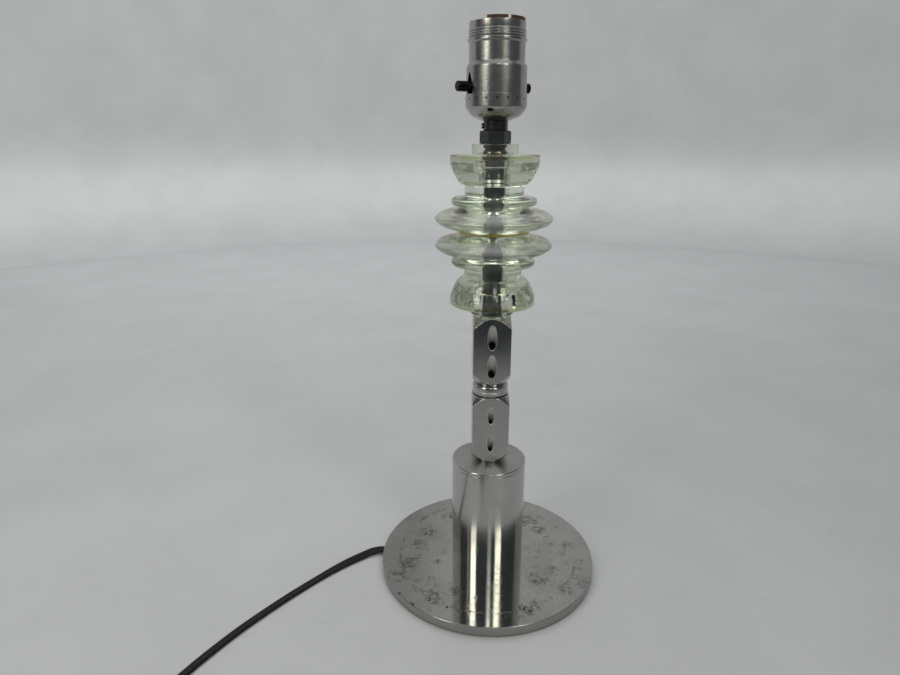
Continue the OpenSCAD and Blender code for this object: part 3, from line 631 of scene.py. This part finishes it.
MAT = {
    "aluminium_base": disc_material(),
    "aluminium_column": turned_material("aluminium_column", (0.49, 0.49, 0.475), 0.115, 0.03, 0.6,
                                        "along", 0.92, 0.26),
    "aluminium_turned": turned_material("aluminium_turned", (0.50, 0.50, 0.48), 0.22, 0.12),
    "aluminium_post": post_material(),
    "felt": felt_material(),
    "steel": plain_metal("steel", (0.50, 0.49, 0.47), 0.3),
    "dark_steel": plain_metal("dark_steel", (0.085, 0.095, 0.09), 0.34, 420, 0.5),
    "black_stem": coated("black_stem", (0.018, 0.018, 0.018), 0.18, 300, 0.5),
    "grey_core": plain_metal("grey_core", (0.08, 0.085, 0.085), 0.42, 260, 0.4),
    "bright_chrome": plain_metal("bright_chrome", (0.92, 0.92, 0.92), 0.34, 200, 0.1),
    "bronze_chrome": plain_metal("bronze_chrome", (0.22, 0.17, 0.14), 0.12, 200, 0.3),
    "black_rubber": coated("black_rubber", (0.01, 0.01, 0.01), 0.5),
    "glass": glass_material(),
    "glue": glue_material(),
    "brass": plain_metal("brass", (0.72, 0.55, 0.26), 0.22),
    "blade_brass": plain_metal("blade_brass", (0.74, 0.70, 0.58), 0.2),
    "socket_sheet": turned_material("socket_sheet", (0.43, 0.43, 0.41), 0.22, 0.08, 0.6,
                                    "around", 0.3, dent_shade=True),
    "fibre": fibre_material(),
    "bakelite": coated("bakelite", (0.03, 0.022, 0.018), 0.3, 500, 0.3),
    "black_plastic": coated("black_plastic", (0.004, 0.004, 0.004), 0.16, 200, 0.0, 0.01, 0.0002,
                            0.14),
    "cord": cord_material(),
    "plug_vinyl": coated("plug_vinyl", (0.012, 0.012, 0.012), 0.45, 700, 0.0, 0.1, 0.0006),
}

for row in frame["record"]["subparts"]:
    mesh = NODES[row["node"]].data
    mesh.materials.clear()
    mesh.materials.append(MAT[row["material_slot"]])


# ---- Pieces ----


def glass_profile():
    """Half outline of one insulator: joint face at height 0, collar at the top."""
    corners = [
        (6.5, 0, 0), (21.35, 0, 0.2), (22.0, 0.6, 1.2), (29.7, 2.7, 14), (34.3, 4.6, 4),
        (37.75, 8.4, 3.6), (33.0, 11.9, 3.2), (28.4, 13.4, 12), (20.9, 14.6, 1.1),
        (20.5, 15.4, 0.7), (26.4, 16.2, 2.4), (26.4, 20.6, 2.4), (18.2, 21.6, 1.6),
        (18.2, 28.4, 0.8), (20.4, 28.6, 1.2),
        (22.7, 30.8, 2), (26.0, 37.4, 14), (27.15, 41.5, 6), (27.1, 45.9, 1.0), (14.0, 45.9, 0.9),
        (14.0, 52, 0.7), (7.8, 52, 0.25), (7.8, 41, 0.3), (6.5, 40.3, 0.2)]
    return rounded(corners, 9)


def make_glass():
    profile = glass_profile()
    upper = lathe("upper_glass", profile, UPPER_GLASS_Z, 192, MAT["glass"], sharp_deg=50)
    flipped = [(r, -z) for r, z in profile]
    lower = lathe("lower_glass", flipped, BOND_Z, 192, MAT["glass"], sharp_deg=50)
    stands_for(upper, "glass", "upper_insulator")
    stands_for(lower, "glass", "lower_insulator")


def make_glue():
    """Bead of glue squeezed out between the two joint faces."""
    z = (BOND_Z + UPPER_GLASS_Z) / 2
    bead = rounded([
        (16.0, -0.15, 0), (21.2, -0.15, 0), (21.75, -0.5, 0.2), (22.15, 0, 0.3), (21.75, 0.5, 0.2),
        (21.2, 0.15, 0), (16.0, 0.15, 0)], 5)

    def uneven(r, zz, a):
        return (r + 0.07 * math.sin(5 * a) * math.sin(11 * a + 1) if r > 21.5 else r), zz

    stands_for(lathe("glue_bead", bead, z, 192, MAT["glue"], shape=uneven), "glue", "bond_line")


def make_base():
    edge, bore = 0.45, 5.5
    profile = rounded([(bore, 0, 0.2), (DISC_R, 0, edge), (DISC_R, DISC_T, edge),
                       (bore, DISC_T, 0.2)], 6)
    disc = lathe("turned_disc", profile, BASE_Z, 256, MAT["aluminium_base"])
    # Channel under the disc for the cord, and the seats of three screws, in metres
    way = math.radians(174)
    bpy.ops.mesh.primitive_cube_add(size=1)
    channel = bpy.context.object
    channel.scale = (0.16, 0.0062, 0.0052)
    channel.rotation_euler = (0, 0, way)
    channel.location = (0.08 * math.cos(way), 0.08 * math.sin(way), 0.0012 + 0.0042 - 0.0026)
    cutters = [channel]
    screw_ring = 0.016
    for k in (60, 180, 300):
        b = math.radians(k) + way
        x, y = screw_ring * math.cos(b), screw_ring * math.sin(b)
        bpy.ops.mesh.primitive_cylinder_add(vertices=48, radius=0.0022, depth=0.02,
                                            location=(x, y, 0.005))
        cutters.append(bpy.context.object)
        bpy.ops.mesh.primitive_cone_add(vertices=48, radius1=0.0045, radius2=0.0021, depth=0.0026,
                                        location=(x, y, 0.0012 + 0.00128))
        cutters.append(bpy.context.object)
    cut(disc, cutters)
    stands_for(disc, "aluminium_base", "base_disc")


def make_column():
    inner, height = 22.4, 74.9
    tube = lathe("column_sleeve", rounded([
        (inner, 0, 0.1), (COLUMN_R, 0, 0.15), (COLUMN_R, height, 0.2), (inner, height, 0.1)], 4),
        COLUMN_Z, 256, MAT["aluminium_column"])
    cap = lathe("column_lid", rounded([
        (5.0, -3, 0.1), (22.35, -3, 0.3), (22.35, 0, 0), (COLUMN_R, 0, 0.3),
        (COLUMN_R, LID_T, 0.8), (5.0, LID_T, 0.1)], 7),
        POST_Z - LID_T, 256, MAT["aluminium_column"])
    stands_for(tube, "aluminium_column", "column_tube")
    stands_for(cap, "aluminium_column", "column_cap")


def make_ring():
    profile = rounded([
        (5.0, 0, 0), (11.9, 0, 1.7), (11.9, 2.95, 0.1), (11.5, 3.34, 0.15), (11.9, 3.75, 0.1),
        (11.9, 7.6, 1.7), (5.0, 7.6, 0)], 7)
    ring = lathe("turned_ring", profile, RING_Z, 192, MAT["aluminium_post"])
    stands_for(ring, "aluminium_post", "spacer_ring")


def make_core():
    """Sleeve, thread and bushing that show through the upper glass."""
    sleeve = lathe("chrome_sleeve", rounded([
        (5.0, 0, 0), (6.35, 0, 0.7), (6.35, 6.9, 0.7), (5.0, 6.9, 0)], 6),
        SLEEVE_Z, 96, MAT["bright_chrome"])
    stands_for(sleeve, "bright_chrome", "bright_sleeve")
    pitch, depth, r = 1.27, 0.42, 6.05
    rows = [(5.0, 0)] + [(r - depth / 2, z) for z in np.arange(0, 7.91, 0.11)] + [(5.0, 7.9)]

    def thread(rr, z, a):
        if rr < 5.1:
            return rr, z
        w = (z / pitch - a / (2 * math.pi)) % 1.0
        return r - depth * (1 - abs(2 * w - 1)) ** 0.8, z

    screw = lathe("cut_thread", rows, THREAD_Z, 120, MAT["dark_steel"], shape=thread, sharp_deg=80)
    stands_for(screw, "dark_steel", "threaded_nipple")
    bushing = lathe("bright_bushing", rounded([
        (5.0, 0, 0), (7.5, 0, 0.8), (7.5, 4.6, 2.6), (5.6, 7.0, 0.6), (5.0, 7.0, 0)], 8),
        BUSHING_Z, 96, MAT["bronze_chrome"])
    stands_for(bushing, "bronze_chrome", "collar_bushing")


def bar_point(t):
    """Point at distance t in mm along the switch bar's line."""
    return Vector((t * math.cos(SOCKET_TURN), t * math.sin(SOCKET_TURN), BAR_Z)) * MM


def slot_cutter(half, point_h):
    """Prism along the bar: a round hole open downwards, with a pointed top."""
    pts = [(-half, -25), (half, -25), (half, 1.2), (0.7, point_h), (-0.7, point_h), (-half, 1.2)]
    verts, n = [], len(pts)
    side = Vector((-math.sin(SOCKET_TURN), math.cos(SOCKET_TURN), 0))
    for t in (-21, 21):
        for x, z in pts:
            verts.append(bar_point(t) + side * x * MM + Vector((0, 0, z * MM)))
    faces = [tuple(range(n)), tuple(range(2 * n - 1, n - 1, -1))]
    faces += [(k, (k + 1) % n, n + (k + 1) % n, n + k) for k in range(n)]
    return mesh_object("slot_cutter", verts, faces, smooth=False)


def ring_of_balls(count, ring_r, ball_r, turn, height, material):
    """Balls spaced evenly round the axis by geometry nodes, as one plain mesh."""
    tree = bpy.data.node_groups.new("ring_of_balls", "GeometryNodeTree")
    values = {}
    for name, kind, value in (("Count", "NodeSocketInt", count),
                              ("Ring Radius", "NodeSocketFloat", ring_r),
                              ("Ball Radius", "NodeSocketFloat", ball_r)):
        socket = tree.interface.new_socket(name, in_out="INPUT", socket_type=kind)
        values[socket.identifier] = value
    tree.interface.new_socket("Geometry", in_out="OUTPUT", socket_type="NodeSocketGeometry")
    new = tree.nodes.new
    given, result = new("NodeGroupInput"), new("NodeGroupOutput")
    circle, ball = new("GeometryNodeMeshCircle"), new("GeometryNodeMeshUVSphere")
    spread, place = new("GeometryNodeInstanceOnPoints"), new("GeometryNodeTransform")
    real, paint = new("GeometryNodeRealizeInstances"), new("GeometryNodeSetMaterial")
    ball.inputs["Segments"].default_value, ball.inputs["Rings"].default_value = 20, 12
    place.inputs["Translation"].default_value = (0, 0, height)
    place.inputs["Rotation"].default_value = (0, 0, turn)
    paint.inputs["Material"].default_value = material
    for a, b in ((given.outputs["Count"], circle.inputs["Vertices"]),
                 (given.outputs["Ring Radius"], circle.inputs["Radius"]),
                 (given.outputs["Ball Radius"], ball.inputs["Radius"]),
                 (circle.outputs["Mesh"], spread.inputs["Points"]),
                 (ball.outputs["Mesh"], spread.inputs["Instance"]),
                 (spread.outputs["Instances"], place.inputs["Geometry"]),
                 (place.outputs["Geometry"], real.inputs["Geometry"]),
                 (real.outputs["Geometry"], paint.inputs["Geometry"]),
                 (paint.outputs["Geometry"], result.inputs["Geometry"])):
        tree.links.new(a, b)
    obj = mesh_object("ring_of_balls", [(0, 0, 0), (MM, 0, 0), (0, MM, 0)], [(0, 1, 2)])
    mod = obj.modifiers.new("balls", "NODES")
    mod.node_group = tree
    for identifier, value in values.items():
        mod[identifier] = value
    return applied(obj)


def make_socket():
    top_r, low_r = 16.25, 17.65
    outer = rounded([
        (low_r, 11.0, 0), (low_r, 29.3, 1.5), (top_r + 0.5, 30.8, 0.8), (top_r, 31.8, 0.6),
        (top_r, 41.7, 0.3), (top_r + 0.75, 42.2, 0.5), (top_r + 0.75, 43.8, 0.5),
        (top_r + 0.1, 44.4, 0)], 7)
    # Three rolled rings near the shell's mouth
    for i in range(3):
        z = 45.3 + 1.43 * i
        outer += [(top_r - 0.15 + 0.65 * math.sin(k), z - 0.68 + 1.36 * k / math.pi)
                  for k in np.linspace(0.02, 3.12, 13)]
    outer += rounded([
        (top_r - 0.1, 49.1, 0), (top_r - 0.05, 49.4, 0), (top_r - 0.05, 52.6, 0.15),
        (top_r - 0.4, 52.6, 0.15), (top_r - 0.4, 31.4, 0.6), (low_r - 0.4, 28.5, 1.2),
        (low_r - 0.4, 11.0, 0)], 5)
    shell = lathe("spun_shell", outer, SOCKET_Z, 224, MAT["socket_sheet"])
    cut(shell, [slot_cutter(3.3, 7.5)])
    stands_for(shell, "socket_sheet", "socket_shell")

    cap = lathe("spun_cap", rounded([
        (6.2, 0, 0.1), (8.9, 0, 2), (14.4, 2.4, 7), (17.4, 6.0, 5), (18.1, 7.4, 1.2),
        (18.1, 14.4, 0.15),
        (17.7, 14.4, 0.1), (17.7, 7.6, 1.2), (17.0, 6.1, 5), (14.1, 2.8, 7), (8.8, 0.4, 2),
        (6.2, 0.4, 0.1)], 8),
        SOCKET_Z, 256, MAT["socket_sheet"])
    balls = ring_of_balls(18, 18.6 * MM, 0.86 * MM, math.radians(8), DENT_Z * MM,
                          MAT["socket_sheet"])
    bpy.ops.mesh.primitive_cube_add(size=1)
    slot = bpy.context.object
    b = math.radians(-105)
    slot.scale, slot.rotation_euler = (0.006, 0.0032, 0.0015), (0, 0, b)
    slot.location = (0.0185 * math.cos(b), 0.0185 * math.sin(b), (SOCKET_Z + 5.55) * MM)
    cut(cap, [slot, balls])
    stands_for(cap, "socket_sheet", "socket_cap")


def make_bulb_shell():
    """Brass screw shell with its rolled thread."""
    pitch, start, depth = 3.63, 1.2, 0.55
    rows = [(6.0, 0), (13.3, 0)] + [(13.3, z) for z in np.arange(0.3, 25.51, 0.3)]
    rows += [(13.7, z) for z in np.arange(25.5, 0.8, -0.3)] + [(13.7, 0.5), (6.0, 0.5)]

    def thread(r, z, a):
        if r < 13 or z < start:
            return r, z
        grow = min(1.0, (z - start) / 2)
        turn = 2 * math.pi * (z / pitch - a / (2 * math.pi))
        return r + depth * grow * (0.5 + 0.5 * math.cos(turn)), z

    shell = lathe("rolled_screw_shell", rows, BULB_SHELL_Z, 144, MAT["brass"], shape=thread,
                  sharp_deg=60)
    stands_for(shell, "brass", "bulb_screw_shell")


make_cord(MAT["cord"])
make_base()
make_column()
make_ring()
make_core()
make_glass()
make_glue()
make_socket()
make_bulb_shell()


# ---- Room ----

# Reflectance of the table near and far, and brightness of the backdrop
FLOOR_NEAR, FLOOR_FAR, WALL_GLOW = 0.378, 0.50, 0.36


def area(name, centre, target, width, height, colour, power):
    data = bpy.data.lights.new(name, "AREA")
    data.shape, data.size, data.size_y = "RECTANGLE", width, height
    data.color, data.energy = colour, power
    obj = bpy.data.objects.new(name, data)
    bpy.context.scene.collection.objects.link(obj)
    obj.location = centre
    obj.rotation_euler = (Vector(target) - Vector(centre)).to_track_quat("-Z", "Y").to_euler()
    return obj


def strip(name, azimuth, low, high, wide, colour, radiance, away=1.3):
    """Upright light at that azimuth and between those elevations from the lamp, in degrees."""
    a = math.radians(azimuth)
    z0, z1 = away * math.tan(math.radians(low)), away * math.tan(math.radians(high))
    width = 2 * away * math.tan(math.radians(wide / 2))
    x, y = math.sin(a) * away, -math.cos(a) * away
    z = (z0 + z1) / 2
    power = radiance * math.pi * width * (z1 - z0)
    return area(name, (x, y, z), (0, 0, z), width, z1 - z0, colour, power)


def table_material():
    """Pale table that turns into a faintly glowing backdrop far behind the lamp, with painted shade
    towards the right and a painted shadow towards the camera.
    """
    s = Shade("table", Roughness=0.5)
    s.set("Specular IOR Level", 0.25)
    x, y, z = s.xyz()
    aside = s.math("DIVIDE", x, s.math("ADD", s.math("ABSOLUTE", y), 0.4))
    # Painted shade: the table and backdrop grow darker towards the right
    side = s.span(aside, -0.5, 0.95, 1.0, 0.83)
    clouds_and_side_shade = s.math("MULTIPLY", side, s.span(s.noise(7, 5, 0.6), 0.35, 0.65, 0.97, 1.03))
    marks = s.span(s.noise(1, 4, 0.6, s.stretched((30, 90, 1))), 0.62, 0.75, 1, 0.93)
    level = s.math("MULTIPLY", clouds_and_side_shade, s.span(y, 0.12, 1.3, FLOOR_NEAR, FLOOR_FAR))
    # Painted shadow: the table darkens towards the camera
    level = s.math("MULTIPLY", level, s.span(y, -0.32, -0.10, 0.80, 1.0))
    level = s.math("MULTIPLY", level, s.span(z, 0.0, 0.35, 1.0, 0.15))
    grey = s.math("MULTIPLY", level, marks)
    s.set("Base Color", s.vector(s.math("MULTIPLY", grey, 0.985), grey,
                                 s.math("MULTIPLY", grey, 1.015)))
    s.set("Emission Color", (0.985, 1.0, 1.0))
    s.set("Emission Strength", s.math("MULTIPLY", clouds_and_side_shade, s.span(z, -0.03, 0.22, 0.0, WALL_GLOW)))
    return s.mat


def sheet(name, x, y0, y1, z, material):
    """Level rectangle from -x to x and from y0 to y1."""
    return mesh_object(name, [(-x, y0, z), (x, y0, z), (x, y1, z), (-x, y1, z)], [(0, 1, 2, 3)],
                       material)


def make_room():
    table = table_material()
    floor_r, fillet, top = 1.55, 0.25, 3.0
    flat = sheet("table", 1.8, -0.46, 1.8, 0, table)
    line = [(floor_r + fillet * math.sin(math.radians(a)),
             fillet - fillet * math.cos(math.radians(a))) for a in range(0, 91, 6)]
    line.append((floor_r + fillet, top))
    angles = [math.radians(a) for a in range(10, 171, 4)]
    verts = [(r * math.cos(a), r * math.sin(a), z + 0.0002) for a in angles for r, z in line]
    n = len(line)
    faces = [(i * n + k, (i + 1) * n + k, (i + 1) * n + k + 1, i * n + k + 1)
             for i in range(len(angles) - 1) for k in range(n - 1)]
    wall = mesh_object("backdrop", verts, faces, table, 80)
    dark = Shade("room_floor", Roughness=0.9)
    dark.set("Base Color", (0.14, 0.155, 0.165))
    floor = sheet("room_floor", 4, -5, 3, -0.75, dark.mat)

    warm, white = (1.0, 0.96, 0.85), (1.0, 1.0, 1.0)
    strip("strip_left", -48, 23, 47, 17, warm, 5.5)
    strip("strip_right", 32, 28, 47, 18, (1.0, 0.98, 0.84), 5.5)
    strip("strip_left_low", -42, -8, 19, 9, warm, 0.45)
    strip("strip_right_low", 34, -8, 19, 10, (1.0, 0.98, 0.86), 0.06)
    strip("strip_middle", 5, 41.5, 50, 10, (1.0, 0.96, 0.90), 5.0)
    strip("window", 3, 32, 41.5, 12, (0.75, 0.9, 1.0), 0.7)
    strip("strip_thin", -66, 20, 42, 3, warm, 1.2)
    # The ceiling lights the room; metal sees only a dim copy of it
    light = area("ceiling", (0, 0.3, 2.0), (0, 0.3, 0), 2.4, 3.0, white, 47)
    light.visible_glossy = False
    seen = area("ceiling_seen", (0, -0.1, 2.01), (0, 0, 0), 2.4, 2.0, white, 8)
    seen.visible_diffuse = False

    world = bpy.data.worlds.new("room")
    bpy.context.scene.world = world
    world.use_nodes = True
    nt = world.node_tree
    nt.nodes.clear()
    out = nt.nodes.new("ShaderNodeOutputWorld")
    bg = nt.nodes.new("ShaderNodeBackground")
    nt.links.new(bg.outputs[0], out.inputs[0])
    bg.inputs["Color"].default_value = (0.86, 0.96, 1.0, 1)
    bg.inputs["Strength"].default_value = 0.10


make_room()

scene = bpy.context.scene
scene.cycles.use_denoising = True
scene.cycles.max_bounces = 28
scene.cycles.transmission_bounces = 26
scene.cycles.glossy_bounces = 10
scene.cycles.diffuse_bounces = 4
scene.cycles.caustics_refractive = True
scene.cycles.caustics_reflective = True
scene.cycles.sample_clamp_indirect = 12
scene.view_settings.view_transform = "Standard"
scene.view_settings.look = "None"
